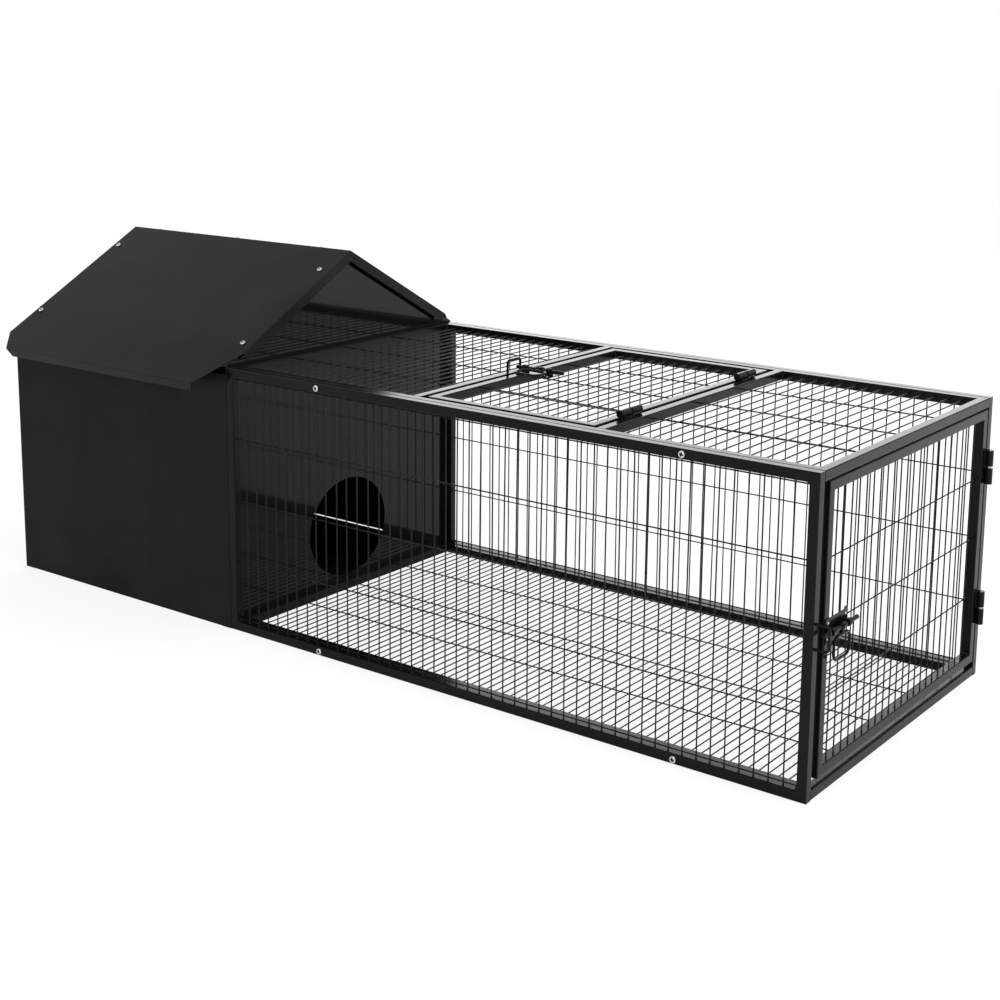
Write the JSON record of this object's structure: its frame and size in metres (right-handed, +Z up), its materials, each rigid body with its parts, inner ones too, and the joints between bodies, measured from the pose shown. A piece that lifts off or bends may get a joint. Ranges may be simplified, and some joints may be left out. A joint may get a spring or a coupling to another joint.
{
  "type": "rabbit cage",
  "caption": "Long metal rabbit cage: a gabled sheet-steel house joined to a wire-mesh run, with a latched roof hatch and a latched end door.",
  "frame": {"origin": "centre of the whole cage's footprint, on the floor", "axes": "+X along the cage from the house end to the door end, +Y from the front long side to the back one, +Z up"},
  "size_m": [1.536, 0.64, 0.5762],
  "materials": {
    "black_sheet": "black powder coat on folded sheet steel, satin to semi-gloss",
    "black_tube": "black powder coat on square tube and hardware, semi-gloss",
    "black_wire": "black coated welded wire",
    "bright_screw": "bright plated pan heads",
    "zinc_steel": "zinc plated steel"
  },
  "bodies": {
    "cage": {"house_front_wall": "black_sheet", "house_back_wall": "black_sheet", "house_gable_wall": "black_sheet", "house_partition_wall": "black_sheet", "house_floor": "black_sheet", "roof_front_panel": "black_sheet", "roof_back_panel": "black_sheet", "ridge_strip": "black_sheet", "roof_front_screws": "bright_screw", "roof_back_screws": "bright_screw", "ridge_screws": "bright_screw", "gable_screws": "bright_screw", "partition_screws": "bright_screw", "front_panel_frame": "black_tube", "front_panel_mesh": "black_wire", "back_panel_frame": "black_tube", "back_panel_mesh": "black_wire", "top_panel_frame": "black_tube", "top_mesh_left": "black_wire", "top_mesh_right": "black_wire", "floor_panel_frame": "black_tube", "floor_panel_mesh": "black_wire", "front_panel_screws": "bright_screw", "back_panel_screws": "bright_screw", "front_rivet_nuts": "zinc_steel", "back_rivet_nuts": "zinc_steel", "door_hinge_fixed_knuckles": "black_tube", "door_hinge_pins": "zinc_steel", "door_latch_keeper": "black_tube", "hatch_hinge_fixed_knuckles": "black_tube", "hatch_hinge_pins": "zinc_steel", "hatch_latch_keeper": "black_tube"},
    "door": {"door_frame": "black_tube", "door_mesh": "black_wire", "door_hinge_moving_knuckles": "black_tube", "door_latch_plate": "black_tube", "door_latch_guides": "black_tube"},
    "door_bolt": {"door_latch_bolt": "black_tube"},
    "door_ring": {"door_latch_ring": "black_tube"},
    "hatch": {"hatch_frame": "black_tube", "hatch_mesh": "black_wire", "hatch_hinge_moving_knuckles": "black_tube", "hatch_latch_plate": "black_tube", "hatch_latch_guides": "black_tube"},
    "hatch_bolt": {"hatch_latch_bolt": "black_tube"},
    "hatch_ring": {"hatch_latch_ring": "black_tube"}
  },
  "joints": [
    {"name": "door_swing", "type": "hinge", "parent": "cage", "child": "door", "pos_m": [0.7538, 0.26, 0.2135], "axis": [0, 0, 1], "range_deg": [0, 170]},
    {"name": "hatch_swing", "type": "hinge", "parent": "cage", "child": "hatch", "pos_m": [0.4075, 0, 0.4258], "axis": [0, 1, 0], "range_deg": [0, 160]},
    {"name": "door_bolt_slide", "type": "slide", "parent": "door", "child": "door_bolt", "axis": [0, -1, 0], "range_m": [0, 0.016]},
    {"name": "door_ring_swing", "type": "hinge", "parent": "door_bolt", "child": "door_ring", "pos_m": [0.7555, -0.21, 0.2145], "axis": [0, -1, 0], "range_deg": [0, 170]},
    {"name": "hatch_bolt_slide", "type": "slide", "parent": "hatch", "child": "hatch_bolt", "axis": [-1, 0, 0], "range_m": [0, 0.016]},
    {"name": "hatch_ring_swing", "type": "hinge", "parent": "hatch_bolt", "child": "hatch_ring", "pos_m": [0.154, -0.014, 0.4275], "axis": [-1, 0, 0], "range_deg": [0, 170]}
  ]
}
